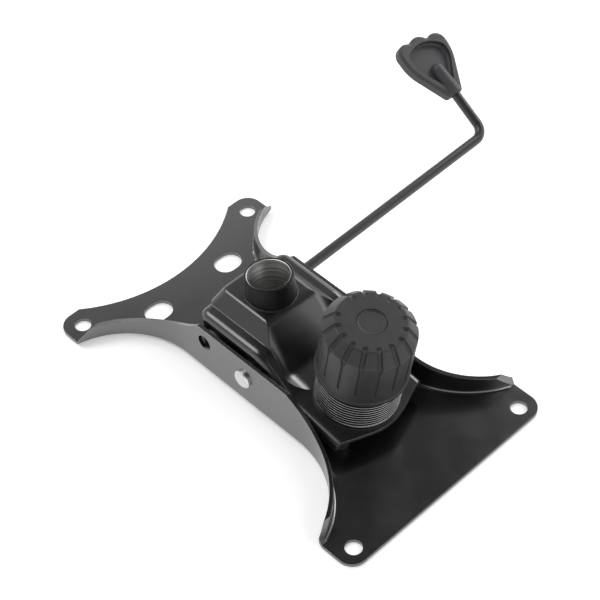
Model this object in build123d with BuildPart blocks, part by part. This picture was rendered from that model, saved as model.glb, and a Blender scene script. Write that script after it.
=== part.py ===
from build123d import *
from math import atan2, cos, pi, radians, sin, tan
import os

os.makedirs("parts", exist_ok=True)

# Tilt mechanism of an office chair, in millimetres, lying upside down on the face that
# bolts to the seat. +X is the front of the chair, +Y the side of the lever, +Z away from
# the seat. The origin is the centre of the four seat holes, on the seat face.

# Seat plate: pressed steel with four ears and two side flanges
sheet = 2.5                  # plate thickness
hole_span_x = 250.0          # seat holes, front to back
hole_span_y = 150.0          # seat holes, side to side
seat_hole_d = 11.0
ear_front = 11.0             # front edge beyond the front holes
ear_rear = 12.5              # rear ears beyond the rear holes
ear_side = 12.5              # ears beyond the holes sideways
ear_round = 11.0             # corner radius of the ears
flange_half = 43.0           # half width over the side flanges
flange_height = 40.0
flange_bend = 4.5            # outer radius of the bend at the floor
waist_front = 45.0           # where the straight flange starts to flare, front
waist_rear = -58.0           # and rear
flare_front = 67.0           # radius of the front flare, outer face
flare_rear = 57.0            # radius of the rear flare, outer face
rear_scoop_depth = 23.0      # depth of the curved rear edge between the ears
rear_scoop_half = 68.0       # half its width
window_x = -98.5             # two windows beside the rear edge
window_y = 31.5
window_length = 16.0         # along X
window_width = 20.0          # along Y
flange_rear_top = -45.0      # the flange is at full height between these two
flange_front_top = 36.0
flange_rear_mid_x = -73.0
flange_rear_mid_z = 22.0
flange_rear_low_x = -111.0
flange_rear_low_z = 13.5
flange_rear_foot = -115.5
flange_front_mid_x = 62.0
flange_front_mid_z = 25.5
flange_front_low_x = 105.0
flange_front_low_z = 14.0
flange_front_foot = 110.5

# Tilt hinge, a rivet through each pair of side walls
pivot_x = -3.0
pivot_z = 23.5
tilt_range = 10.0            # degrees
rivet_shank_r = 5.0
rivet_neck_r = 4.0
rivet_head_r = 6.5
rivet_head = 2.4             # thickness of the outer head
rivet_inner_head_r = 8.0
rivet_inner_head = 3.0
rivet_edge = 0.8             # bevel of rivet and bolt heads
bush_wall = 1.8
run_gap = 0.06               # radial clearance of every running fit
fit_gap = 0.05               # clearance of pieces that are fixed to each other
side_gap = 0.3               # clearance between faces that pass each other
washer_t = 1.6
washer_r = 9.5

# Tilt housing: a deep-drawn shell, open towards the seat plate
drawn = 2.5                  # its wall
wall_play = 2.3              # room between a flange and the housing
house_rear = -50.0
house_ledge = 47.0           # height of the side ledges
house_skirt = 15.0           # lower edge of the rear and side walls
house_corner = 7.0           # rounding of the upright rear corners
house_bend = 5.0             # rounding between ledge and walls
ledge_front = 5.0            # where the side edge starts down to the tongue
ledge_foot = 34.0            # where it reaches the tongue
ledge_round = 16.0           # rounding of that edge, top
foot_round = 16.0            # and foot
island_top = 56.0            # raised island round the gas-lift socket
island_ledge = 9.7           # width of the ledge beside the island
island_draft = 9.0           # the island's top is narrower on each side by this
island_rear = -46.5
island_round = 5.0           # rounding of its upright corners
island_edge = 3.0            # rounding of its top edge
slope_top = -4.0             # front edge of the island's flat top
slope_foot = 20.0            # where the front slope meets the tongue
slope_rail = 4.2             # width of the rail beside the scoop that forms the slope
slope_round = 15.0           # its side radius
slope_blend = 8.0            # blend between slope and tongue
slope_crest = 9.0            # rounding between the island's top and the slope

# Tongue that carries the tension spring, square to the knob's axis
knob_x = 54.5
tongue_z = 23.0              # height of the tongue on the knob's axis
knob_lean = 8.5              # degrees, top of the axis towards the front
tongue_corner = 73.5         # its front edge at the corners
tongue_wave = 78.5           # where the edge swings out to the nose
tongue_wave_half = 24.0
tongue_nose = 84.5
tongue_flange = 5.5          # height of its turned-down sides

# Gas-lift socket
mouth_x = -23.4
mouth_z = 71.2
socket_lean = 6.0            # degrees, mouth towards the rear
socket_bore_r = 14.0
socket_mouth_r = 16.0
socket_foot_r = 16.6
socket_cone = 15.5           # length of the tapered top
socket_length = 36.5
socket_edge = 0.6            # chamfer at the mouth
brace_z = 40.0               # top of the inner plate that steadies the socket
brace_front = 4.0

# Tension spring, collar and knob, in heights along the knob's axis from the tongue
collar_r = 27.5              # over its thread
collar_step_h = 27.7         # above this the collar is narrower
collar_neck_r = 25.5
collar_bore_r = 23.2
collar_height = 36.0
collar_floor = 2.4
collar_spigot_r = 9.0
collar_edge = 1.0            # its chamfers
spring_r = 19.0              # mean radius of the coil
spring_wire = 5.5
spring_turns = 5.5
bolt_r = 5.0
bolt_hole_r = 6.0
bolt_top_drop = 7.2          # end of the bolt below the knob's top
bolt_head_r = 9.5
bolt_head = 5.0
rocker_t = 2.0               # domed washer on which the bolt rocks in the boss
rocker_r = 50.0              # radius of the dome
hub_drop = 18.2              # lower face of the knob's hub and of its nut below the knob's top
thrust_washer_t = 2.5
thrust_washer_r = 23.5
nut_height = 9.0
nut_across = 17.0
knob_rim_h = 28.0
knob_rim_r = 29.8
knob_side_r = 29.3
knob_band = 2.6              # height of the rim's band
knob_top_h = 75.2
shoulder_drop = 8.2          # shoulder below the top
knob_top_r = 22.5
knob_skirt_gap = 0.35        # clearance between the skirt and the collar
knob_roof = 4.2              # thickness of its roof
knob_hub_r = 13.5
knob_slope_wall = 3.5        # wall under the sloping shoulder
knob_edge = 2.0              # rounding of shoulder and top
knob_inner_r = 26.0          # inside, above the part that passes over the collar
knob_grooves = 16
groove_r = 0.9               # grooves in the side
groove_depth = 0.9
groove_foot = 10.5           # lower end above the rim
scallop_r = 1.7              # wider hollows that end them, over the shoulder and onto the top
scallop_depth = 1.4
scallop_drop = 2.2           # start of a hollow below the shoulder
scallop_reach = 2.4          # how far it runs onto the top
cap_r = 9.1
cap_t = 1.8
cap_sink = 0.3
cap_gap = 0.3
cap_border = 0.6             # raised border round the dished middle
cap_dish = 0.4
turn_feed = 1.5              # advance of the knob per turn
turns_in = 1.0

# Boss in the seat plate that holds the head of the tension bolt
boss_r = 17.0
boss_height = 12.5
boss_draft = 12.0

# Lever: bent wire with a plastic paddle
lever_x = -39.2
lever_z = 28.0
lever_skew = 1.1             # degrees, outer end towards the rear
lever_r = 3.5
lever_corner = 186.7         # from the far flange to the corner of the bend
lever_bend = 10.0
arm_rise = 30.0              # degrees above the seat plate
arm_lean = 3.5               # degrees outwards from square
lever_travel = 10.0
lever_end_gap = 3.5          # inner end from the near flange when pushed in
lever_slot_gap = 1.2
lock_hole_d = 11.0
flat_half = 2.6              # half thickness of the flats that drive the actuator
flat_end = 23.0              # Y of their outer end
bush_r = 4.7
bush_flange = 1.0
bush_flange_r = 6.0
clip_inset = 2.7             # clip inside the housing's wall
clip_r = 5.5
clip_t = 1.2
clip_groove_r = 3.0
bracket_ear = 12.5           # distance of the bracket's ears from the middle
bracket_t = 2.5
bracket_ear_r = 7.0
bracket_front = -37.4
bracket_rear_gap = 1.4
actuator_r = 5.2
actuator_tip = 26.5          # reach of the arm that presses the valve
actuator_t = 3.6
actuator_half = 8.0

# Paddle, measured along the arm from the corner of the lever's bend
paddle_neck = 34.5
paddle_neck_half = 6.2
paddle_flank = 64.0          # where the widening sides meet the parallel ones
paddle_half = 20.9
paddle_flank_r = 33.0
paddle_corner = 2.5          # rounding of the neck's corners
paddle_rise = 2.6            # top of the rim above the wire's axis
paddle_t = 9.0
lobe_r = 8.0
lobe_near = 76.3             # centres of the three lobes
lobe_mid = 75.7
lobe_far = 73.0
lobe_mid_side = 0.9
lobe_mid_r = 9.0
lobe_valley = 2.5            # rounding between two lobes
paddle_edge = 2.2            # rounding of the outer edges
dish_depth = 4.2
dish_foot = 41.0             # where the dish begins beside the wire
dish_foot_half = 3.0
dish_flank = 62.0
dish_half = 16.2
dish_flank_r = 14.0
dish_near = 73.5             # ends of its sides, and its far wall between them
dish_far = 70.0
dish_nose = 78.6
dish_corner = 4.0
dish_round = 1.8             # between floor and wall
wire_rib_neck_r = 6.0        # rib that covers the wire, at the neck
wire_rib_r = 4.9             # and at its rounded end
wire_rib_end = 56.0
wire_rib_edge = 1.2
wire_recess_r = 4.6          # dark recess where the wire enters
wire_recess = 3.0
lever_wire_end = 55.0

# Stops of the tilt: rubber pieces plugged into the seat plate
front_stop_x = 63.0
front_stop_y = 25.0
front_stop_r = 7.0
rear_stop_x = -46.6
rear_stop_length = 6.0
rear_stop_width = 44.0
stop_plug_r = 2.5
rear_plug_y = 14.0
stop_edge = 0.8

# Values worked out from the ones above
hole_x = hole_span_x / 2
hole_y = hole_span_y / 2
plate_front = hole_x + ear_front
plate_rear = -hole_x - ear_rear
plate_side = hole_y + ear_side
plate_mid = (plate_front + plate_rear) / 2
plate_length = plate_front - plate_rear
waist_mid = (waist_front + waist_rear) / 2
waist_length = waist_front - waist_rear
flange_in = flange_half - sheet
lean = radians(knob_lean)
slip = radians(socket_lean)
skew = radians(lever_skew)
tilt = radians(tilt_range)
house_half = flange_in - wall_play
house_in = house_half - drawn
crest_rise = 0.1             # the scoop's floor clears the island's top by this
island_half_foot = house_half - island_ledge
island_half_top = island_half_foot - island_draft
slope_half = house_half - slope_rail
clip_y = house_in - clip_inset
lever_inner_end = lever_travel + lever_end_gap - flange_in
knob_shoulder_h = knob_top_h - shoulder_drop
knob_ceiling_h = knob_top_h - knob_roof
# The hollow's corner runs parallel to the shoulder, at the wall's distance from it
shoulder_slope = atan2(shoulder_drop, knob_side_r - knob_top_r)
slope_inset = knob_slope_wall / sin(shoulder_slope)
slope_low_h = knob_shoulder_h + (knob_side_r - slope_inset - knob_inner_r) * tan(shoulder_slope)
slope_high_r = knob_side_r - slope_inset - (knob_ceiling_h - knob_shoulder_h) / tan(shoulder_slope)
hub_foot = knob_top_h - hub_drop
bolt_top = knob_top_h - bolt_top_drop
over = 20.0                  # overlength of cutting bodies
past = 1.0                   # overlength of small cuts
near = 3.0                   # room when edges are picked by their place


def tongue_at(x):
    """Height of the tongue's upper face at a distance x from the origin."""
    return tongue_z - (x - knob_x) * tan(lean)


def turned(x, z, angle):
    """A point of the housing after it has tilted by an angle in radians."""
    rx, rz = x - pivot_x, z - pivot_z
    return (
        pivot_x + rx * cos(angle) - rz * sin(angle),
        pivot_z + rx * sin(angle) + rz * cos(angle),
    )


# Plane on the tongue with its normal along the knob's axis, and the plane of a section
knob_plane = Plane(
    origin=(knob_x, 0, tongue_z),
    x_dir=(cos(lean), 0, -sin(lean)),
    z_dir=(sin(lean), 0, cos(lean)),
)
knob_section = Plane(origin=knob_plane.origin, x_dir=knob_plane.x_dir, z_dir=(0, -1, 0))
knob_axis = Axis(knob_plane.origin, knob_plane.z_dir)
# Plane at the socket's mouth with its normal out of the mouth
mouth_plane = Plane(
    origin=(mouth_x, 0, mouth_z),
    x_dir=(cos(slip), 0, sin(slip)),
    z_dir=(-sin(slip), 0, cos(slip)),
)
# Plane across the lever's wire at the far flange: X to the rear, Y up, Z outwards
lever_plane = Plane(
    origin=(lever_x, flange_half, lever_z),
    x_dir=(-cos(skew), -sin(skew), 0),
    z_dir=(-sin(skew), cos(skew), 0),
)

# The bolt follows the seat plate while the housing tilts, so along its own axis it
# moves by the pivot's distance from that axis for each radian
draw_per_radian = (knob_x - pivot_x) * cos(lean) - (tongue_z - pivot_z) * sin(lean)
bolt_draw = draw_per_radian * tilt
boss_ceiling = boss_height - sheet
dome_rise = rocker_r + (rocker_t - rocker_r) * cos(lean)
head_face_z = boss_ceiling - side_gap - dome_rise
head_face_h = -(tongue_z - head_face_z) / cos(lean)
head_x = knob_x + head_face_h * sin(lean)
head_tilted_x, head_tilted_z = turned(head_x, head_face_z, tilt)
head_end_x = head_tilted_x - bolt_draw * sin(lean - tilt)
head_end_z = head_tilted_z - bolt_draw * cos(lean - tilt)
boss_x = (head_x + head_end_x) / 2
# Where the bolt's axis passes the top of the boss, upright and tilted
neck_start = head_x + (boss_height - head_face_z) * tan(lean)
neck_end = head_end_x + (boss_height - head_end_z) * tan(lean - tilt)
# The knob comes down over the collar by the bolt's draw and by its own feed
knob_down = bolt_draw + turns_in * turn_feed
print(f"bolt draw {draw_per_radian:.3f} mm per radian, {bolt_draw:.2f} mm at full tilt")
print(f"bolt head: x {head_x:.2f}, z {head_face_z:.2f}")
print(f"bolt head at full tilt: x {head_end_x:.2f}, z {head_end_z:.2f}")


def along_knob(height):
    """Plane square to the knob's axis at a height above the tongue."""
    return knob_plane.offset(height)


def lever_at(y):
    """X of the lever's axis at a distance y from the middle."""
    return lever_x - (y - flange_half) * tan(skew)


def lever_point(local):
    """A point given in the lever's plane, in the part's own axes."""
    return lever_plane.from_local_coords(local)


def ring(inner, outer, low, high):
    """Corners of the half section of a plain ring."""
    return [(inner, low), (outer, low), (outer, high), (inner, high)]


def spun(outline, section, axis):
    """A body of revolution from the corners of its half section."""
    with BuildPart() as body:
        with BuildSketch(section):
            with BuildLine():
                Polyline(*outline, close=True)
            make_face()
        revolve(axis=axis)
    return body.part


def both_sides(body):
    """A body and its mirror image on the other side of the middle."""
    with BuildPart() as pair:
        add(body)
        add(body.mirror(Plane.XZ))
    return pair.part


def save(part, name):
    """Label a finished piece and write it under its own name."""
    part.label = name
    export_step(part, f"parts/{name}.step")
    print(f"{name}: {len(part.solids())} solids, {part.volume / 1000:.2f} cm3")


# Seat plate

with BuildPart() as seat_plate:
    # Outline with the ears; the flares are concave arcs tangent to the straight flanges
    with BuildSketch() as plate_outline:
        with Locations((plate_mid, 0)):
            Rectangle(plate_length, 2 * plate_side)
        fillet(plate_outline.vertices(), ear_round)
        with Locations(*[(waist_front, s * (flange_half + flare_front)) for s in (-1, 1)]):
            Circle(flare_front, mode=Mode.SUBTRACT)
        with Locations(*[(waist_rear, s * (flange_half + flare_rear)) for s in (-1, 1)]):
            Circle(flare_rear, mode=Mode.SUBTRACT)
        with Locations(*[(waist_mid, s * (flange_half + plate_side)) for s in (-1, 1)]):
            Rectangle(waist_length, 2 * plate_side, mode=Mode.SUBTRACT)
        scoop_r = (rear_scoop_half**2 + rear_scoop_depth**2) / (2 * rear_scoop_depth)
        with Locations((plate_rear + rear_scoop_depth - scoop_r, 0)):
            Circle(scoop_r, mode=Mode.SUBTRACT)
    extrude(amount=flange_height)
    # Bend along the foot of each flange
    foot = seat_plate.edges().group_by(Axis.Z)[0].filter_by(
        lambda e: flange_half - near < abs(e.center().Y) < plate_side - near
        and plate_rear + ear_round < e.center().X < plate_front - ear_round - near
    )
    fillet(foot, flange_bend)
    # Hollow above the floor, between the flanges and out over the ears
    with BuildSketch(Plane.XY.offset(sheet)) as plate_hollow:
        with Locations((plate_mid, 0)):
            Rectangle(plate_length + over, 2 * plate_side + over)
        with Locations(*[(waist_front, s * (flange_half + flare_front)) for s in (-1, 1)]):
            Circle(flare_front + sheet, mode=Mode.SUBTRACT)
        with Locations(*[(waist_rear, s * (flange_half + flare_rear)) for s in (-1, 1)]):
            Circle(flare_rear + sheet, mode=Mode.SUBTRACT)
        with Locations(*[(waist_mid, s * (flange_in + plate_side)) for s in (-1, 1)]):
            Rectangle(waist_length, 2 * plate_side, mode=Mode.SUBTRACT)
    extrude(amount=flange_height, mode=Mode.SUBTRACT)
    # Inside of the bend
    inner_foot = seat_plate.edges().filter_by(
        lambda e: abs(e.center().Z - sheet) < 0.01
        and e.bounding_box().size.Z < 0.01
        and flange_in - near < abs(e.center().Y) < plate_side - near
        and plate_rear + ear_round < e.center().X < plate_front - ear_round - near
    )
    fillet(inner_foot, flange_bend - sheet)
    # Upper edge of the flanges, high beside the housing and low over the ears
    with BuildSketch(Plane.XZ) as flange_top:
        with BuildLine():
            rear_fall = Spline(
                (flange_rear_low_x, flange_rear_low_z),
                (flange_rear_mid_x, flange_rear_mid_z),
                (flange_rear_top, flange_height),
                tangents=[(1, 0.1), (0.7, 0.7)],
            )
            front_fall = Spline(
                (flange_front_top, flange_height),
                (flange_front_mid_x, flange_front_mid_z),
                (flange_front_low_x, flange_front_low_z),
                tangents=[(1, -0.5), (1, -0.25)],
            )
            Polyline(
                (flange_rear_low_x, flange_rear_low_z),
                (flange_rear_foot, sheet),
                (plate_rear - over, sheet),
                (plate_rear - over, flange_height + over),
                (plate_front + over, flange_height + over),
                (plate_front + over, sheet),
                (flange_front_foot, sheet),
                (flange_front_low_x, flange_front_low_z),
            )
            Line((flange_rear_top, flange_height), (flange_front_top, flange_height))
        make_face()
    extrude(amount=plate_side + over, both=True, mode=Mode.SUBTRACT)
    # Seat holes and windows
    with Locations((0, 0, sheet)):
        with GridLocations(hole_span_x, hole_span_y, 2, 2):
            Hole(seat_hole_d / 2)
    with BuildSketch():
        with Locations(*[(window_x, s * window_y) for s in (-1, 1)]):
            SlotOverall(window_width, window_length, rotation=90)
    extrude(amount=sheet, mode=Mode.SUBTRACT)
    # Boss for the head of the tension bolt, open below, with room for the bolt to sway
    with BuildSketch(Plane.XY.offset(sheet)):
        with Locations((boss_x, 0)):
            Circle(boss_r)
    extrude(amount=boss_height - sheet, taper=boss_draft)
    with BuildSketch():
        with Locations((boss_x, 0)):
            Circle(boss_r - sheet)
    extrude(amount=boss_ceiling, taper=boss_draft, mode=Mode.SUBTRACT)
    with BuildSketch(Plane.XY.offset(boss_ceiling - past)):
        with Locations(((neck_start + neck_end) / 2, 0)):
            SlotOverall(2 * bolt_hole_r + abs(neck_end - neck_start), 2 * bolt_hole_r)
    extrude(amount=sheet + 2 * past, mode=Mode.SUBTRACT)
    # Pivot holes
    with BuildSketch(Plane.XZ):
        with Locations((pivot_x, pivot_z)):
            Circle(rivet_neck_r + fit_gap)
    extrude(amount=plate_side, both=True, mode=Mode.SUBTRACT)
    # Round lock hole in the near flange, and in the far one a slot for the lever
    with BuildSketch(Plane.XZ):
        with Locations((lever_x, lever_z)):
            Circle(lock_hole_d / 2)
    extrude(amount=plate_side, mode=Mode.SUBTRACT)
    lever_low_x, lever_low_z = turned(lever_x, lever_z, tilt)
    with BuildSketch(Plane.XZ):
        with Locations((lever_x, (lever_z + lever_low_z) / 2)):
            slot_width = 2 * (lever_r + lever_slot_gap)
            SlotOverall(lever_z - lever_low_z + slot_width, slot_width, rotation=90)
    extrude(amount=-plate_side, mode=Mode.SUBTRACT)

    # Holes for the plugs of the rubber stops
    with Locations((front_stop_x, 0, sheet)):
        with GridLocations(0, 2 * front_stop_y, 1, 2):
            Hole(stop_plug_r)
    with Locations((rear_stop_x, 0, sheet)):
        with GridLocations(0, 2 * rear_plug_y, 1, 2):
            Hole(stop_plug_r)

save(seat_plate.part, "seat_plate")


# Tilt housing


def scoop_form(inset):
    """The space above the front slope and the tongue; it grows by the inset."""
    with BuildPart() as scoop:
        with BuildSketch(Plane.XZ) as scoop_view:
            with BuildLine():
                Polyline(
                    (slope_top - over, island_top + over),
                    (slope_top - over, island_top + crest_rise),
                    (slope_top, island_top),
                    (slope_foot, tongue_at(slope_foot)),
                    (tongue_nose + 2 * over, tongue_at(tongue_nose + 2 * over)),
                    (tongue_nose + 2 * over, island_top + over),
                    close=True,
                )
            make_face()
            corners = scoop_view.vertices()
            fillet(corners.sort_by_distance((slope_top, island_top))[0], slope_crest)
            corners = scoop_view.vertices()
            fillet(corners.sort_by_distance((slope_foot, tongue_at(slope_foot)))[0], slope_blend)
            if inset:
                offset(amount=inset, kind=Kind.INTERSECTION)
        extrude(amount=slope_half + inset, both=True)
        floor_sides = scoop.edges().filter_by(
            lambda e: abs(abs(e.center().Y) - slope_half - inset) < 0.01
            and e.center().Z < island_top + near
            and e.center().X < tongue_nose + 2 * over - near
        )
        fillet(floor_sides, slope_round + inset)
    return scoop.part


def drawn_form(inset):
    """The housing as a solid form, drawn in by the inset on every side."""
    facet = inset * tan(radians(22.5))
    reach = over if inset else 0
    with BuildPart() as form:
        with BuildSketch(Plane.XZ) as side_view:
            with BuildLine():
                Polyline(
                    (house_rear, -over),
                    (house_rear, house_ledge),
                    (ledge_front, house_ledge),
                    (ledge_foot, tongue_at(ledge_foot)),
                    (tongue_nose + 2 * over, tongue_at(tongue_nose + 2 * over)),
                    (tongue_nose + 2 * over, -over),
                    close=True,
                )
            make_face()
            corners = side_view.vertices()
            fillet(corners.sort_by_distance((ledge_front, house_ledge))[0], ledge_round)
            corners = side_view.vertices()
            fillet(corners.sort_by_distance((ledge_foot, tongue_at(ledge_foot)))[0], foot_round)
            if inset:
                offset(amount=-inset, kind=Kind.INTERSECTION)
        extrude(amount=house_half, both=True)
        with BuildSketch(Plane.XY.offset(-2 * over)) as plan_view:
            with BuildLine():
                Spline(
                    (tongue_corner + reach, -house_half),
                    (tongue_wave + reach, -tongue_wave_half),
                    (tongue_nose + reach, 0),
                    (tongue_wave + reach, tongue_wave_half),
                    (tongue_corner + reach, house_half),
                )
                Polyline(
                    (tongue_corner + reach, house_half),
                    (house_rear, house_half),
                    (house_rear, -house_half),
                    (tongue_corner + reach, -house_half),
                )
            make_face()
            fillet(plan_view.vertices().group_by(Axis.X)[0], house_corner)
            if inset:
                offset(amount=-inset, kind=Kind.INTERSECTION)
        extrude(amount=2 * over + island_top, mode=Mode.INTERSECT)
        # Bend between the top and the walls, all round
        rim = form.edges().filter_by(
            lambda e: e.center().Z > 0
            and abs(e.tangent_at(0.5).Z) < 0.99
            and (abs(e.center().Y) > house_in - near or e.center().X < house_rear + near)
            and e.center().X < tongue_corner
        )
        fillet(rim, house_bend - inset)
        # Raised island, with its rear flush with the rear wall
        base_rear, top_rear = house_rear + inset, island_rear + inset
        base_front, top_front = slope_foot - slope_top, slope_foot / 2
        base_z, top_z = house_ledge - inset, island_top - inset
        with BuildSketch(Plane.XY.offset(base_z - house_bend)) as island_foot:
            with Locations(((base_rear + base_front) / 2, 0)):
                Rectangle(base_front - base_rear, 2 * (island_half_foot - facet))
            fillet(island_foot.vertices().group_by(Axis.X)[0], island_round)
        extrude(amount=house_bend)
        with BuildSketch(Plane.XY.offset(base_z)) as island_base:
            with Locations(((base_rear + base_front) / 2, 0)):
                Rectangle(base_front - base_rear, 2 * (island_half_foot - facet))
            fillet(island_base.vertices().group_by(Axis.X)[0], island_round)
        with BuildSketch(Plane.XY.offset(top_z)) as island_crown:
            with Locations(((top_rear + top_front) / 2, 0)):
                Rectangle(top_front - top_rear, 2 * (island_half_top - facet))
            fillet(island_crown.vertices().group_by(Axis.X)[0], island_round)
        loft()
        crown = form.edges().group_by(Axis.Z)[-1].filter_by(lambda e: e.center().X < top_front - 1)
        fillet(crown, island_edge)
        add(scoop_form(inset), mode=Mode.SUBTRACT)
    return form.part


skirt_knee = knob_x + (tongue_z - tongue_flange / cos(lean) - house_skirt) / tan(lean)
tongue_reach = tongue_nose + over
with BuildPart() as tilt_housing:
    add(drawn_form(0))
    add(drawn_form(drawn), mode=Mode.SUBTRACT)
    # Lower edge: level along the sides, then in step with the tongue
    with BuildSketch(Plane.XZ):
        Polygon(
            (house_rear - over, -2 * over),
            (tongue_reach, -2 * over),
            (tongue_reach, tongue_at(tongue_reach) - tongue_flange / cos(lean)),
            (skirt_knee, house_skirt),
            (house_rear - over, house_skirt),
            align=None,
        )
    extrude(amount=house_half + over, both=True, mode=Mode.SUBTRACT)
    # Hole for the gas-lift socket, square to its leaning axis
    with BuildSketch(mouth_plane):
        Circle(socket_foot_r + fit_gap)
    extrude(amount=-socket_length, mode=Mode.SUBTRACT)
    # Bores for the pivot bushes
    with BuildSketch(Plane.XZ):
        with Locations((pivot_x, pivot_z)):
            Circle(rivet_shank_r + run_gap + bush_wall + fit_gap)
    extrude(amount=house_half + over, both=True, mode=Mode.SUBTRACT)
    # Bore for the lever's bush in the far wall and the lock hole in the near one
    with BuildSketch(Plane.XZ):
        with Locations((lever_at(house_half), lever_z)):
            Circle(bush_r + fit_gap)
    extrude(amount=-house_half - over, mode=Mode.SUBTRACT)
    with BuildSketch(Plane.XZ):
        with Locations((lever_at(-house_half), lever_z)):
            Circle(lock_hole_d / 2)
    extrude(amount=house_half + over, mode=Mode.SUBTRACT)
    # Hole in the tongue for the spigot of the collar
    with BuildSketch(knob_plane):
        Circle(collar_spigot_r + fit_gap)
    extrude(amount=drawn, both=True, mode=Mode.SUBTRACT)

save(tilt_housing.part, "tilt_housing")


# Gas-lift socket and its inner plate

mouth_section = Plane(origin=mouth_plane.origin, x_dir=mouth_plane.x_dir, z_dir=(0, -1, 0))
mouth_axis = Axis(mouth_plane.origin, mouth_plane.z_dir)
lift_socket = spun(
    [
        (socket_bore_r, -socket_length),
        (socket_foot_r, -socket_length),
        (socket_foot_r, -socket_cone),
        (socket_mouth_r, -socket_edge),
        (socket_mouth_r - socket_edge, 0),
        (socket_bore_r + socket_edge, 0),
        (socket_bore_r, -socket_edge),
    ],
    mouth_section,
    mouth_axis,
)
save(lift_socket, "lift_socket")

with BuildPart() as socket_brace:
    brace_rear = house_rear + drawn + fit_gap
    brace_half = house_in - fit_gap
    with BuildSketch(Plane.XY.offset(brace_z - drawn)) as brace_outline:
        with Locations(((brace_rear + brace_front) / 2, 0)):
            Rectangle(brace_front - brace_rear, 2 * brace_half)
        fillet(brace_outline.vertices(), house_corner)
    extrude(amount=drawn)
    with BuildSketch(mouth_plane):
        Circle(socket_foot_r + fit_gap)
    extrude(amount=-socket_length - over, mode=Mode.SUBTRACT)
save(socket_brace.part, "socket_brace")


# Tilt hinge: a stepped rivet, a spacer, a bush and an inner washer on each side

pivot_section = Plane(origin=(pivot_x, 0, pivot_z), x_dir=(1, 0, 0), z_dir=(0, 0, 1))
pivot_axis = Axis(pivot_section.origin, (0, 1, 0))
washer_foot = house_in - side_gap - washer_t
rivet_rest = [
    (0, washer_foot - rivet_inner_head),
    (rivet_inner_head_r - rivet_edge, washer_foot - rivet_inner_head),
    (rivet_inner_head_r, washer_foot - rivet_inner_head + rivet_edge),
    (rivet_inner_head_r, washer_foot),
    (rivet_shank_r, washer_foot),
    (rivet_shank_r, flange_in),
    (rivet_neck_r, flange_in),
    (rivet_neck_r, flange_half),
    (rivet_head_r, flange_half),
    (rivet_head_r, flange_half + rivet_head - rivet_edge),
    (rivet_head_r - rivet_edge, flange_half + rivet_head),
    (0, flange_half + rivet_head),
]
pivot_rivets = both_sides(spun(rivet_rest, pivot_section, pivot_axis))
save(pivot_rivets, "pivot_rivets")

pivot_spacers = both_sides(
    spun(
        ring(rivet_shank_r + fit_gap, washer_r, house_half + side_gap, flange_in),
        pivot_section,
        pivot_axis,
    )
)
save(pivot_spacers, "pivot_spacers")

bush_in = rivet_shank_r + run_gap
pivot_bushes = both_sides(
    spun(ring(bush_in, bush_in + bush_wall, house_in, house_half), pivot_section, pivot_axis)
)
save(pivot_bushes, "pivot_bushes")

pivot_washers = both_sides(
    spun(
        ring(rivet_shank_r + fit_gap, washer_r, washer_foot, washer_foot + washer_t),
        pivot_section,
        pivot_axis,
    )
)
save(pivot_washers, "pivot_washers")


# Tension unit on the knob's axis

spring_collar = spun(
    [
        (bolt_hole_r, -drawn),
        (collar_spigot_r, -drawn),
        (collar_spigot_r, 0),
        (collar_r - collar_edge, 0),
        (collar_r, collar_edge),
        (collar_r, collar_step_h - collar_edge),
        (collar_r - collar_edge, collar_step_h),
        (collar_neck_r, collar_step_h),
        (collar_neck_r, collar_height - collar_edge),
        (collar_neck_r - collar_edge, collar_height),
        (collar_bore_r, collar_height),
        (collar_bore_r, collar_floor),
        (bolt_hole_r, collar_floor),
    ],
    knob_section,
    knob_axis,
)
save(spring_collar, "spring_collar")

# The spring is one helix of round wire from the collar's floor to the thrust washer
coil_foot = collar_floor + spring_wire / 2
coil_top = hub_foot - thrust_washer_t - spring_wire / 2
coil_pitch = (coil_top - coil_foot) / spring_turns
with BuildPart() as tension_spring:
    with BuildLine() as coil:
        Helix(
            pitch=coil_pitch,
            height=coil_top - coil_foot,
            radius=spring_r,
            center=along_knob(coil_foot).origin,
            direction=knob_plane.z_dir,
        )
    with BuildSketch(Plane(origin=coil.line @ 0, z_dir=coil.line % 0)):
        Circle(spring_wire / 2)
    sweep(path=coil.line, is_frenet=True)
save(tension_spring.part, "tension_spring")
climb = coil_pitch / (2 * pi * spring_r)
drawn_pitch = coil_pitch - knob_down / spring_turns
print(f"spring: least gap between turns {coil_pitch * cos(atan2(climb, 1)) - spring_wire:.2f} mm")
print(f"spring: the same when fully drawn {drawn_pitch * cos(atan2(climb, 1)) - spring_wire:.2f} mm")

tension_bolt = spun(
    [
        (0, head_face_h - bolt_head),
        (bolt_head_r - rivet_edge, head_face_h - bolt_head),
        (bolt_head_r, head_face_h - bolt_head + rivet_edge),
        (bolt_head_r, head_face_h),
        (bolt_r, head_face_h),
        (bolt_r, bolt_top - rivet_edge),
        (bolt_r - rivet_edge, bolt_top),
        (0, bolt_top),
    ],
    knob_section,
    knob_axis,
)
save(tension_bolt, "tension_bolt")

# Domed washer on the head: a ring cut off by a sphere
with BuildPart() as rocker_blank:
    with BuildSketch(along_knob(head_face_h)):
        Circle(bolt_head_r)
        Circle(bolt_r + fit_gap, mode=Mode.SUBTRACT)
    extrude(amount=rocker_t)
    dome_centre = along_knob(head_face_h + rocker_t - rocker_r)
    with Locations(dome_centre.origin):
        Sphere(rocker_r, mode=Mode.INTERSECT)
save(rocker_blank.part, "bolt_rocker_washer")

thrust_washer = spun(
    ring(bolt_r + side_gap, thrust_washer_r, hub_foot - thrust_washer_t, hub_foot),
    knob_section,
    knob_axis,
)
save(thrust_washer, "thrust_washer")

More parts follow.
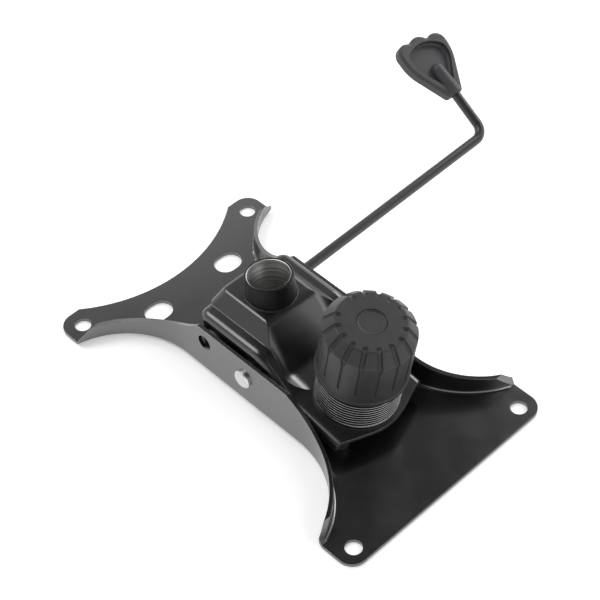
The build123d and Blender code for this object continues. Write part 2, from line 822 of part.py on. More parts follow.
cap_floor = knob_top_h - cap_sink - cap_t
knob_skirt_r = collar_r + knob_skirt_gap
knob_step_h = knob_rim_h + knob_down + side_gap
nut_r = nut_across / 2 + fit_gap
with BuildPart() as tension_knob:
    with BuildSketch(knob_section) as knob_half:
        with BuildLine():
            Polyline(
                (knob_skirt_r, knob_rim_h),
                (knob_rim_r, knob_rim_h),
                (knob_rim_r, knob_rim_h + knob_band),
                (knob_side_r, knob_rim_h + knob_band + (knob_rim_r - knob_side_r)),
                (knob_side_r, knob_shoulder_h),
                (knob_top_r, knob_top_h),
                (cap_r + cap_gap, knob_top_h),
                (cap_r + cap_gap, cap_floor),
                (bolt_hole_r, cap_floor),
                (bolt_hole_r, hub_foot),
                (knob_hub_r, hub_foot),
                (knob_hub_r, knob_ceiling_h),
                (slope_high_r, knob_ceiling_h),
                (knob_inner_r, slope_low_h),
                (knob_inner_r, knob_step_h),
                (knob_skirt_r, knob_step_h),
                close=True,
            )
        make_face()
        for place in ((knob_side_r, knob_shoulder_h), (knob_top_r, knob_top_h)):
            fillet(knob_half.vertices().sort_by_distance(place)[0], knob_edge)
    revolve(axis=knob_axis)
    # Pocket of the nut
    with BuildSketch(along_knob(hub_foot)):
        RegularPolygon(nut_r, 6, major_radius=False)
    extrude(amount=nut_height, mode=Mode.SUBTRACT)
    # Grip grooves up the side, each with a wider hollow over the shoulder and onto the top
    groove_run = knob_side_r - groove_depth + groove_r
    scallop_run = knob_side_r - scallop_depth + scallop_r
    scallop_rise = scallop_r - scallop_depth
    groove_line = [
        (groove_run, knob_rim_h + groove_foot + groove_r),
        (groove_run, knob_shoulder_h - scallop_drop),
    ]
    scallop_line = [
        (scallop_run, knob_shoulder_h - scallop_drop),
        (scallop_run, knob_shoulder_h - scallop_rise / 2),
        (knob_top_r + scallop_rise / 2, knob_top_h + scallop_rise),
        (knob_top_r - scallop_reach, knob_top_h + scallop_rise),
    ]
    with BuildPart(mode=Mode.PRIVATE) as groove:
        for line, radius in ((groove_line, groove_r), (scallop_line, scallop_r)):
            places = [knob_section.from_local_coords((r, h, 0)) for r, h in line]
            for start, end in zip(places, places[1:]):
                with BuildSketch(Plane(origin=start, z_dir=end - start)):
                    Circle(radius)
                extrude(amount=(end - start).length)
            with Locations(*places):
                Sphere(radius)
    for count in range(knob_grooves):
        turn = groove.part.rotate(knob_axis, (count + 0.5) * 360 / knob_grooves)
        add(turn, mode=Mode.SUBTRACT)
save(tension_knob.part, "tension_knob")

with BuildPart() as knob_nut:
    with BuildSketch(along_knob(hub_foot)):
        RegularPolygon(nut_across / 2, 6, major_radius=False)
        Circle(bolt_r + fit_gap, mode=Mode.SUBTRACT)
    extrude(amount=nut_height)
save(knob_nut.part, "knob_nut")

cap_face = cap_floor + cap_t
knob_cap = spun(
    [
        (0, cap_floor),
        (cap_r, cap_floor),
        (cap_r, cap_face),
        (cap_r - cap_border, cap_face),
        (cap_r - 2 * cap_border, cap_face - cap_dish),
        (0, cap_face - cap_dish),
    ],
    knob_section,
    knob_axis,
)
save(knob_cap, "knob_cap")


# Lever: a bent wire, its paddle and what it turns inside the housing

arm = Vector(
    cos(radians(arm_lean)) * cos(radians(arm_rise)),
    cos(radians(arm_lean)) * sin(radians(arm_rise)),
    sin(radians(arm_lean)),
)
out = Vector(0, 0, 1)
bend_half = radians(90 - arm_lean) / 2
corner = Vector(0, 0, lever_corner)
bend_start = corner - out * (lever_bend * tan(bend_half))
bend_end = corner + arm * (lever_bend * tan(bend_half))
bend_in = (arm - out).normalized()
bend_mid = corner + bend_in * (lever_bend / cos(bend_half) - lever_bend)
wire_start = Vector(0, 0, lever_inner_end - flange_half)
wire_end = corner + arm * lever_wire_end
with BuildPart() as lever_rod:
    with BuildLine() as wire:
        Line(lever_point(wire_start), lever_point(bend_start))
        ThreePointArc(lever_point(bend_start), lever_point(bend_mid), lever_point(bend_end))
        Line(lever_point(bend_end), lever_point(wire_end))
    with BuildSketch(lever_plane.offset(wire_start.Z)):
        Circle(lever_r)
    sweep(path=wire.line)
    # Flats at the inner end and the groove of the clip
    with BuildSketch(lever_plane.offset(flat_end - flange_half)):
        with Locations((0, flat_half + lever_r), (0, -flat_half - lever_r)):
            Rectangle(4 * lever_r, 2 * lever_r)
    extrude(amount=wire_start.Z - over, mode=Mode.SUBTRACT)
    with BuildSketch(lever_plane.offset(clip_y - flange_half)):
        Circle(2 * lever_r)
        Circle(clip_groove_r, mode=Mode.SUBTRACT)
    extrude(amount=clip_t, mode=Mode.SUBTRACT)
save(lever_rod.part, "lever_rod")

with BuildPart() as lever_clip:
    with BuildSketch(lever_plane.offset(clip_y - flange_half)):
        Circle(clip_r)
        Circle(clip_groove_r + fit_gap / 2, mode=Mode.SUBTRACT)
        with Locations((0, -clip_r)):
            Rectangle(2 * clip_groove_r - 1, 2 * clip_r, mode=Mode.SUBTRACT)
    extrude(amount=clip_t)
save(lever_clip.part, "lever_clip")

with BuildPart() as lever_bush:
    with BuildSketch(Plane.XZ.offset(-house_in)):
        with Locations((lever_at(house_half), lever_z)):
            Circle(bush_r)
    extrude(amount=-drawn)
    with BuildSketch(Plane.XZ.offset(-house_half)):
        with Locations((lever_at(house_half), lever_z)):
            Circle(bush_flange_r)
    extrude(amount=-bush_flange)
    with BuildSketch(lever_plane):
        Circle(lever_r + run_gap)
    extrude(amount=-over, mode=Mode.SUBTRACT)
save(lever_bush.part, "lever_bush")

with BuildPart() as lever_bracket:
    ear_side_face = bracket_ear + bracket_t
    bracket_top = brace_z - drawn
    with BuildSketch(Plane.XZ.offset(-ear_side_face)):
        with Locations((lever_at(0), lever_z)):
            Circle(bracket_ear_r)
        with Locations((lever_at(0), (lever_z + bracket_top) / 2)):
            Rectangle(2 * bracket_ear_r, bracket_top - lever_z)
    extrude(amount=2 * ear_side_face)
    with BuildSketch(Plane.XZ.offset(-bracket_ear)):
        with Locations((lever_at(0), lever_z)):
            Rectangle(4 * bracket_ear_r, 2 * over)
    extrude(amount=2 * bracket_ear, mode=Mode.SUBTRACT)
    with BuildSketch(Plane.XY.offset(bracket_top - bracket_t)):
        with Locations(((brace_rear + bracket_rear_gap + bracket_front) / 2, 0)):
            Rectangle(bracket_front - brace_rear - bracket_rear_gap, 2 * ear_side_face)
    extrude(amount=bracket_t)
    with BuildSketch(lever_plane):
        Circle(lever_r + run_gap)
    extrude(amount=-2 * plate_side, mode=Mode.SUBTRACT)
save(lever_bracket.part, "lever_bracket")

sleeve_half = bracket_ear - side_gap - actuator_r * tan(skew)
with BuildPart() as valve_actuator:
    with BuildSketch(lever_plane.offset(-flange_half / cos(skew) - sleeve_half)):
        Circle(actuator_r)
    extrude(amount=2 * sleeve_half)
    with BuildSketch(lever_plane.offset(-flange_half / cos(skew) - actuator_half)):
        with Locations((-actuator_tip / 2, actuator_t / 2 - actuator_r)):
            Rectangle(actuator_tip, actuator_t)
    extrude(amount=2 * actuator_half)
    with BuildSketch(lever_plane):
        Circle(lever_r + run_gap)
        Rectangle(4 * lever_r, 2 * (flat_half + run_gap), mode=Mode.INTERSECT)
    extrude(amount=-2 * plate_side, mode=Mode.SUBTRACT)
save(valve_actuator.part, "valve_actuator")


# Paddle: a neck round the wire that widens to three lobes, dished on its upper face

arm_up = Vector(-sin(radians(arm_rise)), cos(radians(arm_rise)), 0)
arm_world = lever_plane.from_local_coords(arm) - lever_plane.origin
up_world = lever_plane.from_local_coords(arm_up) - lever_plane.origin
paddle_plane = Plane(origin=lever_point(corner), x_dir=arm_world, z_dir=up_world)
rib_section = Plane(origin=paddle_plane.origin, x_dir=arm_world, z_dir=paddle_plane.y_dir)
wire_axis = Axis(paddle_plane.origin, arm_world)


def arm_plane(along):
    """Plane square to the arm at a distance from the corner of the bend."""
    return Plane(origin=paddle_plane.from_local_coords(Vector(along, 0, 0)), z_dir=arm_world)


with BuildPart() as lever_paddle:
    side_y = paddle_half - lobe_r
    with BuildSketch(paddle_plane.offset(paddle_rise - paddle_t)):
        with BuildSketch(mode=Mode.PRIVATE) as paddle_plan:
            Polygon(
                (paddle_neck, paddle_neck_half),
                (paddle_flank, paddle_half),
                (lobe_near, paddle_half),
                (lobe_far, -paddle_half),
                (paddle_flank, -paddle_half),
                (paddle_neck, -paddle_neck_half),
                align=None,
            )
            fillet(paddle_plan.vertices().group_by(Axis.X)[0], paddle_corner)
            fillet(paddle_plan.vertices().filter_by(lambda v: v.X == paddle_flank), paddle_flank_r)
            with Locations((lobe_near, side_y), (lobe_far, -side_y)):
                Circle(lobe_r)
            with Locations((lobe_mid, lobe_mid_side)):
                Circle(lobe_mid_r)
            valleys = paddle_plan.vertices().filter_by(
                lambda v: v.X > lobe_far + near and abs(v.Y) < side_y
            )
            fillet(valleys, lobe_valley)
        add(paddle_plan.sketch)
    extrude(amount=paddle_t)
    paddle_up = Axis(paddle_plane.origin, paddle_plane.z_dir)
    fillet(lever_paddle.faces().sort_by(paddle_up)[-1].edges(), paddle_edge)
    fillet(lever_paddle.faces().sort_by(paddle_up)[0].edges(), paddle_edge)
    # Dish, with a round far wall
    dish_level = paddle_rise - dish_depth
    with BuildSketch(paddle_plane.offset(dish_level)):
        with BuildSketch(mode=Mode.PRIVATE) as dish_plan:
            with BuildLine():
                Polyline(
                    (dish_near, dish_half),
                    (dish_flank, dish_half),
                    (dish_foot, dish_foot_half),
                    (dish_foot, -dish_foot_half),
                    (dish_flank, -dish_half),
                    (dish_far, -dish_half),
                )
                ThreePointArc((dish_far, -dish_half), (dish_nose, 0), (dish_near, dish_half))
            make_face()
            ends = dish_plan.vertices().filter_by(lambda v: v.X > dish_flank + near)
            fillet(ends, dish_corner)
            flanks = dish_plan.vertices().filter_by(lambda v: abs(v.X - dish_flank) < 0.01)
            fillet(flanks, dish_flank_r)
        add(dish_plan.sketch)
    extrude(amount=2 * dish_depth, mode=Mode.SUBTRACT)
    dish_floor = lever_paddle.faces().filter_by(GeomType.PLANE).filter_by(
        lambda f: abs(paddle_plane.to_local_coords(f.center()).Z - dish_level) < 0.01
    )
    fillet(dish_floor.edges(), dish_round)
    # Rib that covers the wire, from the neck into the dish
    with BuildSketch(rib_section) as rib_half:
        with BuildLine():
            Polyline(
                (wire_rib_end + wire_rib_r, 0),
                (paddle_neck, 0),
                (paddle_neck, wire_rib_neck_r),
                (wire_rib_end, wire_rib_r),
            )
            CenterArc((wire_rib_end, 0), wire_rib_r, 0, 90)
        make_face()
        rib_corner = rib_half.vertices().sort_by_distance((paddle_neck, wire_rib_neck_r))[0]
        fillet(rib_corner, wire_rib_edge)
    revolve(axis=wire_axis)
    # Socket of the wire, wider where it enters
    with BuildSketch(arm_plane(paddle_neck)):
        Circle(lever_r + fit_gap)
    extrude(amount=lever_wire_end - paddle_neck, mode=Mode.SUBTRACT)
    with BuildSketch(arm_plane(paddle_neck)):
        Circle(wire_recess_r)
    extrude(amount=wire_recess, mode=Mode.SUBTRACT)
save(lever_paddle.part, "lever_paddle")


# Rubber stops on the seat plate

front_stop_top = (
    tongue_at(front_stop_x + front_stop_r) - drawn / cos(lean) - side_gap
)
with BuildPart() as front_stops:
    with Locations((front_stop_x, -front_stop_y, sheet), (front_stop_x, front_stop_y, sheet)):
        Cylinder(
            front_stop_r, front_stop_top - sheet, align=(Align.CENTER, Align.CENTER, Align.MIN)
        )
    fillet(front_stops.edges().group_by(Axis.Z)[-1], stop_edge)
    with Locations((front_stop_x, -front_stop_y, sheet), (front_stop_x, front_stop_y, sheet)):
        Cylinder(
            stop_plug_r - fit_gap, sheet, align=(Align.CENTER, Align.CENTER, Align.MAX)
        )
save(front_stops.part, "front_stops")

rear_low = turned(house_rear, house_skirt, tilt)
with BuildPart() as rear_stop:
    with Locations((rear_stop_x, 0, sheet)):
        Box(
            rear_stop_length,
            rear_stop_width,
            rear_low[1] - side_gap - sheet,
            align=(Align.CENTER, Align.CENTER, Align.MIN),
        )
    fillet(rear_stop.edges().group_by(Axis.Z)[-1], stop_edge)
    with Locations((rear_stop_x, -rear_plug_y, sheet), (rear_stop_x, rear_plug_y, sheet)):
        Cylinder(
            stop_plug_r - fit_gap, sheet, align=(Align.CENTER, Align.CENTER, Align.MAX)
        )
save(rear_stop.part, "rear_stop")
print(f"rear edge of the housing comes down to x {rear_low[0]:.2f}, z {rear_low[1]:.2f}")
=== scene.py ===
import math

import bpy
from mathutils import Matrix, Vector


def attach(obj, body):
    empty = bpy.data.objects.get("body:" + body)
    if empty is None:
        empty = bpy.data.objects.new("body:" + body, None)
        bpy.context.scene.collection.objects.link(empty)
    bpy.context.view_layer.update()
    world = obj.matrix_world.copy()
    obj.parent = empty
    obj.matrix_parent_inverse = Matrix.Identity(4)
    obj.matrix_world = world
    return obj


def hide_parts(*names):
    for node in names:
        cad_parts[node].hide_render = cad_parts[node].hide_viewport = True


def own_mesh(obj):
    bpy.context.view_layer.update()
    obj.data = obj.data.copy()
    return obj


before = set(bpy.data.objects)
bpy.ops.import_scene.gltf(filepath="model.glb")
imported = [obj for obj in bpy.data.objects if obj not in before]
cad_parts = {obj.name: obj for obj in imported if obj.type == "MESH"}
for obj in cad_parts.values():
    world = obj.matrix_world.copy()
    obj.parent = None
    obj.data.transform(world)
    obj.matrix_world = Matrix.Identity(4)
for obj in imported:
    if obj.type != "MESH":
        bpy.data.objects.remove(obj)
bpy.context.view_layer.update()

MM = 0.001
WHITE = (1.0, 1.0, 1.0, 1.0)

# Driving sizes of the CAD, in millimetres
KNOB_X, TONGUE_Z, KNOB_LEAN = 54.5, 23.0, math.radians(8.5)
MOUTH_X, MOUTH_Z, SOCKET_LEAN = -23.4, 71.2, math.radians(6.0)
COLLAR_R, COLLAR_STEP, COLLAR_NECK_R = 27.5, 27.7, 25.5
COLLAR_H, COLLAR_BORE_R, COLLAR_FLOOR = 36.0, 23.2, 2.4
SPIGOT_R, BOLT_HOLE_R, DRAWN = 9.0, 6.0, 2.5
PIVOT_X, PIVOT_Z, RIVET_HEAD_R = -3.0, 23.5, 6.5
ISLAND_TOP = 56.0
# The spring's top at rest, and how far tilt and knob together can push it down
SPRING_TOP, TILT_DRAW, FEED_DRAW = 54.5, 9.94, 1.6

# Thread on the collar, in millimetres, and its steps per turn and round the collar
THREAD_PITCH, THREAD_DEPTH = 2.5, 1.3
THREAD_LOW, THREAD_HIGH, THREAD_FADE = 1.4, 26.6, 1.2
THREAD_STEPS, THREAD_AROUND = 16, 180
# Shares of half a pitch where the flank leaves the crest and how wide it is
FLANK_START, FLANK_WIDTH = 0.1, 0.7
COLLAR_EDGE, COLLAR_LIP, COLLAR_PLAIN = 1.0, 0.5, 0.02

# Weld round the socket's foot: ring, bead, waves of its size as (height, count, phase)
WELD_R, WELD_AROUND, WELD_SECTION = 16.75, 140, 8
WELD_SIZE, WELD_SWAY = 1.0, 0.3
WELD_WAVES = ((0.22, 23, 0.0), (0.13, 41, 1.0), (0.1, 7, 0.0))


# Shader helpers


def new_material(name):
    mat = bpy.data.materials.new(name)
    mat.use_nodes = True
    tree = mat.node_tree
    tree.nodes.clear()
    out = tree.nodes.new("ShaderNodeOutputMaterial")
    bsdf = tree.nodes.new("ShaderNodeBsdfPrincipled")
    tree.links.new(bsdf.outputs["BSDF"], out.inputs["Surface"])
    coords = tree.nodes.new("ShaderNodeTexCoord").outputs["Object"]
    return mat, tree, bsdf, coords


def feed(tree, socket, value):
    """Links another socket to this one, or sets it to a plain value."""
    if isinstance(value, bpy.types.NodeSocket):
        tree.links.new(value, socket)
    else:
        socket.default_value = value


def feed_all(tree, node, values):
    for name, value in values.items():
        feed(tree, node.inputs[name], value)


def operate(tree, kind, operation, values):
    node = tree.nodes.new(kind)
    node.operation = operation
    for socket, value in zip(node.inputs, values):
        feed(tree, socket, value)
    return node.outputs


def math_node(tree, operation, *values):
    return operate(tree, "ShaderNodeMath", operation, values)["Value"]


def noise(tree, coords, scale, detail, roughness):
    node = tree.nodes.new("ShaderNodeTexNoise")
    feed_all(tree, node, {"Vector": coords, "Scale": scale, "Detail": detail, "Roughness": roughness})
    return node.outputs["Fac"]


def ramp(tree, value, stops):
    node = tree.nodes.new("ShaderNodeValToRGB")
    while len(node.color_ramp.elements) < len(stops):
        node.color_ramp.elements.new(0.5)
    for element, (position, colour) in zip(node.color_ramp.elements, stops):
        element.position = position
        element.color = (*colour, 1.0)
    tree.links.new(value, node.inputs["Fac"])
    return node.outputs["Color"]


def grey(tone):
    return (tone, tone, tone)


def mottled(tree, value, dark, light):
    """A colour that wanders between two tones with a noise."""
    return ramp(tree, value, [(0.3, dark), (0.7, light)])


def follow(tree, value, low, high, start=0.0, end=1.0, eased=False):
    """A number that goes from low to high as a value goes from start to end."""
    node = tree.nodes.new("ShaderNodeMapRange")
    if eased:
        node.interpolation_type = "SMOOTHSTEP"
    limits = {"From Min": start, "From Max": end, "To Min": low, "To Max": high}
    feed_all(tree, node, {"Value": value, **limits})
    return node.outputs["Result"]


def edge_round(tree, radius):
    node = tree.nodes.new("ShaderNodeBevel")
    node.samples = 6
    node.inputs["Radius"].default_value = radius * MM
    return node.outputs["Normal"]


def bump(tree, height, strength, depth, normal):
    node = tree.nodes.new("ShaderNodeBump")
    values = {"Height": height, "Strength": strength, "Distance": depth * MM, "Normal": normal}
    feed_all(tree, node, values)
    return node.outputs["Normal"]


def about_axis(tree, coords, x, z, lean):
    """Height along a leaning axis and distance from it, in metres."""
    kind = "ShaderNodeVectorMath"
    shifted = operate(tree, kind, "SUBTRACT", (coords, (x * MM, 0.0, z * MM)))["Vector"]
    up = (math.sin(lean), 0.0, math.cos(lean))
    height = operate(tree, kind, "DOT_PRODUCT", (shifted, up))["Value"]
    reach = operate(tree, kind, "LENGTH", (shifted,))["Value"]
    reach2 = math_node(tree, "MULTIPLY", reach, reach)
    height2 = math_node(tree, "MULTIPLY", height, height)
    radius = math_node(tree, "SQRT", math_node(tree, "SUBTRACT", reach2, height2))
    return height, radius


def seen_rays(tree):
    """1 for what the camera sees, straight, in a reflection or through a clear piece."""
    rays = tree.nodes.new("ShaderNodeLightPath").outputs
    seen = math_node(tree, "MAXIMUM", rays["Is Camera Ray"], rays["Is Glossy Ray"])
    return math_node(tree, "MAXIMUM", seen, rays["Is Transmission Ray"])


# Materials: noises as (scale, detail, roughness), bumps as (strength, depth in millimetres),
# rounded edges and radii in millimetres

BLACK_IOR = 2.4
PAINT_CLOUDS, PAINT_SMEAR = (22.0, 4.0, 0.6), (60.0, 5.0, 0.65)
PAINT_PEEL, PEEL_DEPTH = (1400.0, 2.0, 0.5), 0.05

PLASTIC_CLOUDS, PLASTIC_EDGE = (35.0, 4.0, 0.6), 0.3
SPECK_DETAIL, SPECK_ROUGHNESS, SPECK_DEPTH = 3.0, 0.6, 0.08

STREAKS, STREAK_STRETCH = (3.0, 4.0, 0.6), (400.0, 400.0, 40.0)
STREAK_BUMP, METAL_EDGE = (0.15, 0.04), 0.25

BORE_SEEN_R, BORE_METAL, BORE_EDGE = 14.35, 0.85, 0.3
BORE_GRAIN, BORE_ROUGH = (300.0, 4.0, 0.6), (0.28, 0.5)
BORE_BLACK = (grey(0.006), (0.012, 0.012, 0.013))
BAND_NOISE = (900.0, 3.0, 0.7)
BAND_TONES = ((0.38, grey(0.16)), (0.5, (0.42, 0.42, 0.41)), (0.64, (0.85, 0.85, 0.83)))
RING_PITCH, RING_BUMP = 0.85, (0.8, 0.16)

CREST_FROM, CREST_TO, CREST_ROUGH = COLLAR_R - 0.4, COLLAR_R - 0.1, (0.5, 0.24)
# Thread tones from root to crest: the near-black roots are painted shade, the bright crests are a painted
# highlight as well as worn bare metal
THREAD_HIGHLIGHT_AND_SHADE_TONES = ((0.0, grey(0.003)), (0.5, grey(0.03)), (1.0, grey(0.38)))

RIVET_GRAIN, RIVET_ROUGH = (900.0, 4.0, 0.6), (0.26, 0.46)
RIVET_TONES, RIVET_BUMP = (grey(0.55), (0.82, 0.82, 0.81)), (0.2, 0.05)
# Heights of the tool's mark by share of the head's radius
MARK_HEIGHTS = ((0.0, 0.0), (0.16, 0.9), (0.36, 0.8), (0.5, 0.1), (0.66, 1.0))
MARK_BUMP, RIVET_EDGE = (0.8, 0.5), 0.3


def coated(name, dark, light, rough_low, rough_high, grain, edge=0.35, ior=BLACK_IOR):
    """Black paint or powder coat: cloudy gloss, fine orange peel and soft edges."""
    mat, tree, bsdf, coords = new_material(name)
    clouds = noise(tree, coords, *PAINT_CLOUDS)
    smear = noise(tree, coords, *PAINT_SMEAR)
    peel = noise(tree, coords, *PAINT_PEEL)
    values = {
        "Base Color": mottled(tree, clouds, dark, light),
        "Roughness": follow(tree, smear, rough_low, rough_high),
        "Normal": bump(tree, peel, grain, PEEL_DEPTH, edge_round(tree, edge)),
        "IOR": ior,
    }
    feed_all(tree, bsdf, values)
    return mat


def plastic(name, dark, light, rough_low, rough_high, grain_scale, grain):
    """Moulded plastic or rubber with a fine spark-eroded grain."""
    mat, tree, bsdf, coords = new_material(name)
    clouds = noise(tree, coords, *PLASTIC_CLOUDS)
    speck = noise(tree, coords, grain_scale, SPECK_DETAIL, SPECK_ROUGHNESS)
    values = {
        "Base Color": mottled(tree, clouds, dark, light),
        "Roughness": follow(tree, speck, rough_low, rough_high),
        "Normal": bump(tree, speck, grain, SPECK_DEPTH, edge_round(tree, PLASTIC_EDGE)),
        "Specular IOR Level": 0.45,
    }
    feed_all(tree, bsdf, values)
    return mat


def metal(name, dark, light, rough_low, rough_high):
    """Plain or plated steel with faint drawn streaks."""
    mat, tree, bsdf, coords = new_material(name)
    mapping = tree.nodes.new("ShaderNodeMapping")
    feed_all(tree, mapping, {"Vector": coords, "Scale": STREAK_STRETCH})
    streaks = noise(tree, mapping.outputs["Vector"], *STREAKS)
    values = {
        "Base Color": mottled(tree, streaks, dark, light),
        "Roughness": follow(tree, streaks, rough_low, rough_high),
        "Metallic": 1.0,
        "Normal": bump(tree, streaks, *STREAK_BUMP, edge_round(tree, METAL_EDGE)),
    }
    feed_all(tree, bsdf, values)
    return mat


def turned_bore():
    """Black socket whose inside was turned bright: fine rings along its leaning axis."""
    mat, tree, bsdf, coords = new_material("socket_black_turned")
    along, radius = about_axis(tree, coords, MOUTH_X, MOUTH_Z, -SOCKET_LEAN)
    inside = math_node(tree, "LESS_THAN", radius, BORE_SEEN_R * MM)
    turns = math_node(tree, "MULTIPLY", along, 2 * math.pi / (RING_PITCH * MM))
    rings = math_node(tree, "MULTIPLY", math_node(tree, "SINE", turns), inside)
    grain = noise(tree, coords, *BORE_GRAIN)
    only_along = tree.nodes.new("ShaderNodeCombineXYZ")
    tree.links.new(along, only_along.inputs["Z"])
    bands = noise(tree, only_along.outputs["Vector"], *BAND_NOISE)
    mix = tree.nodes.new("ShaderNodeMix")
    mix.data_type = "RGBA"
    tree.links.new(inside, mix.inputs["Factor"])
    tree.links.new(mottled(tree, grain, *BORE_BLACK), mix.inputs["A"])
    tree.links.new(ramp(tree, bands, BAND_TONES), mix.inputs["B"])
    values = {
        "Base Color": mix.outputs["Result"],
        "Metallic": math_node(tree, "MULTIPLY", inside, BORE_METAL),
        "Roughness": follow(tree, grain, *BORE_ROUGH),
        "Specular IOR Level": 0.2,
        "Normal": bump(tree, rings, *RING_BUMP, edge_round(tree, BORE_EDGE)),
    }
    feed_all(tree, bsdf, values)
    return mat


def threaded_black():
    """Black thread: its crests bare shiny metal, partly wear from the knob and partly a painted highlight;
    its roots dull and painted darker as painted shade.
    """
    mat, tree, bsdf, coords = new_material("thread_black")
    radius = about_axis(tree, coords, KNOB_X, TONGUE_Z, KNOB_LEAN)[1]
    # Mask by distance from the axis that paints the crests bright and metallic as a painted highlight and
    # the roots dark as painted shade
    crest_highlight_mask = follow(tree, radius, 0.0, 1.0, CREST_FROM * MM, CREST_TO * MM)
    values = {
        "Base Color": ramp(tree, crest_highlight_mask, THREAD_HIGHLIGHT_AND_SHADE_TONES),
        "Metallic": crest_highlight_mask,
        "Roughness": follow(tree, crest_highlight_mask, *CREST_ROUGH),
        "Specular IOR Level": 0.1,
    }
    feed_all(tree, bsdf, values)
    return mat


def riveted():
    """Zinc of the rivets: the round mark of the riveting tool round the pivot's axis."""
    mat, tree, bsdf, coords = new_material("rivet_zinc_struck")
    parts = tree.nodes.new("ShaderNodeSeparateXYZ")
    tree.links.new(coords, parts.inputs["Vector"])
    dx = math_node(tree, "SUBTRACT", parts.outputs["X"], PIVOT_X * MM)
    dz = math_node(tree, "SUBTRACT", parts.outputs["Z"], PIVOT_Z * MM)
    dx2, dz2 = math_node(tree, "MULTIPLY", dx, dx), math_node(tree, "MULTIPLY", dz, dz)
    distance = math_node(tree, "SQRT", math_node(tree, "ADD", dx2, dz2))
    share = math_node(tree, "DIVIDE", distance, RIVET_HEAD_R * MM)
    mark = ramp(tree, share, [(position, grey(height)) for position, height in MARK_HEIGHTS])
    grain = noise(tree, coords, *RIVET_GRAIN)
    struck = bump(tree, mark, *MARK_BUMP, edge_round(tree, RIVET_EDGE))
    values = {
        "Base Color": mottled(tree, grain, *RIVET_TONES),
        "Metallic": 1.0,
        "Roughness": follow(tree, grain, *RIVET_ROUGH),
        "Normal": bump(tree, grain, *RIVET_BUMP, struck),
    }
    feed_all(tree, bsdf, values)
    return mat


plate_black = coated("plate_black", (0.003, 0.003, 0.004), (0.007, 0.007, 0.008), 0.16, 0.27, 0.06)
housing_black = coated(
    "housing_black", (0.003, 0.003, 0.004), (0.006, 0.006, 0.007), 0.24, 0.34, 0.04, edge=0.8, ior=1.85
)
wire_black = coated("wire_black", (0.014, 0.014, 0.015), (0.024, 0.024, 0.025), 0.3, 0.44, 0.2, ior=1.6)
weld_black = coated("weld_black", grey(0.004), grey(0.008), 0.4, 0.55, 0.3, ior=1.5)
thread_black = threaded_black()
knob_plastic = plastic(
    "knob_plastic", (0.020, 0.020, 0.022), (0.034, 0.034, 0.037), 0.38, 0.54, 2200.0, 0.3
)
cap_plastic = plastic(
    "cap_plastic", (0.018, 0.018, 0.019), (0.032, 0.032, 0.034), 0.42, 0.56, 2200.0, 0.25
)
paddle_plastic = plastic(
    "paddle_plastic", (0.036, 0.036, 0.039), (0.058, 0.058, 0.062), 0.42, 0.6, 1800.0, 0.4
)
bush_plastic = plastic("bush_plastic", (0.52, 0.51, 0.47), (0.62, 0.61, 0.57), 0.4, 0.5, 1500.0, 0.15)
rubber = plastic("rubber", grey(0.012), grey(0.022), 0.6, 0.8, 900.0, 0.4)
zinc = metal("zinc", (0.50, 0.50, 0.49), (0.74, 0.74, 0.72), 0.24, 0.42)
plain_steel = metal("plain_steel", (0.30, 0.30, 0.29), (0.46, 0.46, 0.45), 0.3, 0.5)
spring_steel = metal("spring_steel", grey(0.14), grey(0.26), 0.25, 0.42)
socket_black = turned_bore()
rivet_zinc = riveted()

FINISH = {
    "seat_plate": plate_black,
    "tilt_housing": housing_black,
    "lift_socket": socket_black,
    "socket_brace": plain_steel,
    "pivot_rivets": rivet_zinc,
    "pivot_spacers": plain_steel,
    "pivot_bushes": bush_plastic,
    "pivot_washers": plain_steel,
    "spring_collar": thread_black,
    "tension_spring": spring_steel,
    "tension_bolt": zinc,
    "bolt_rocker_washer": plain_steel,
    "thrust_washer": plain_steel,
    "tension_knob": knob_plastic,
    "knob_nut": zinc,
    "knob_cap": cap_plastic,
    "lever_rod": wire_black,
    "lever_clip": spring_steel,
    "lever_bush": bush_plastic,
    "lever_bracket": plain_steel,
    "valve_actuator": plain_steel,
    "lever_paddle": paddle_plastic,
    "front_stops": rubber,
    "rear_stop": rubber,
}
CAD_SHARP, THREAD_SHARP, WELD_SHARP = 32, 60, 80


def smooth(mesh, sharp_angle):
    """Smooth shading that keeps the edges above an angle in degrees sharp."""
    mesh.shade_smooth()
    mesh.set_sharp_from_angle(angle=math.radians(sharp_angle))


for node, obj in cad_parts.items():
    obj.data.materials.clear()
    obj.data.materials.append(FINISH[node])
    smooth(obj.data, CAD_SHARP)


# Added shapes


def add_object(name, data):
    obj = bpy.data.objects.new(name, data)
    bpy.context.scene.collection.objects.link(obj)
    return obj


def mesh_object(name, points, faces, material, body, sharp_angle):
    mesh = bpy.data.meshes.new(name)
    mesh.from_pydata(points, [], faces)
    mesh.validate()
    mesh.materials.append(material)
    smooth(mesh, sharp_angle)
    obj = add_object(name, mesh)
    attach(obj, body)
    return obj


def closed_faces(rows, columns, flipped=False):
    """Quads between the points of a grid that closes on itself both ways."""
    faces = []
    for i in range(rows):
        a, b = i * columns, ((i + 1) % rows) * columns
        for j in range(columns):
            k = (j + 1) % columns
            faces.append((a + j, b + j, b + k, a + k) if flipped else (a + j, a + k, b + k, b + j))
    return faces


def axis_frame(x, z, lean):
    """Turns (radius, angle, height) about a leaning axis into a point, in metres."""
    up = Vector((math.sin(lean), 0.0, math.cos(lean)))
    side = Vector((math.cos(lean), 0.0, -math.sin(lean)))
    across = Vector((0.0, 1.0, 0.0))
    foot = Vector((x, 0.0, z))

    def place(radius, angle, height):
        point = foot + up * height + side * (radius * math.cos(angle))
        return tuple((point + across * (radius * math.sin(angle))) * MM)

    return place


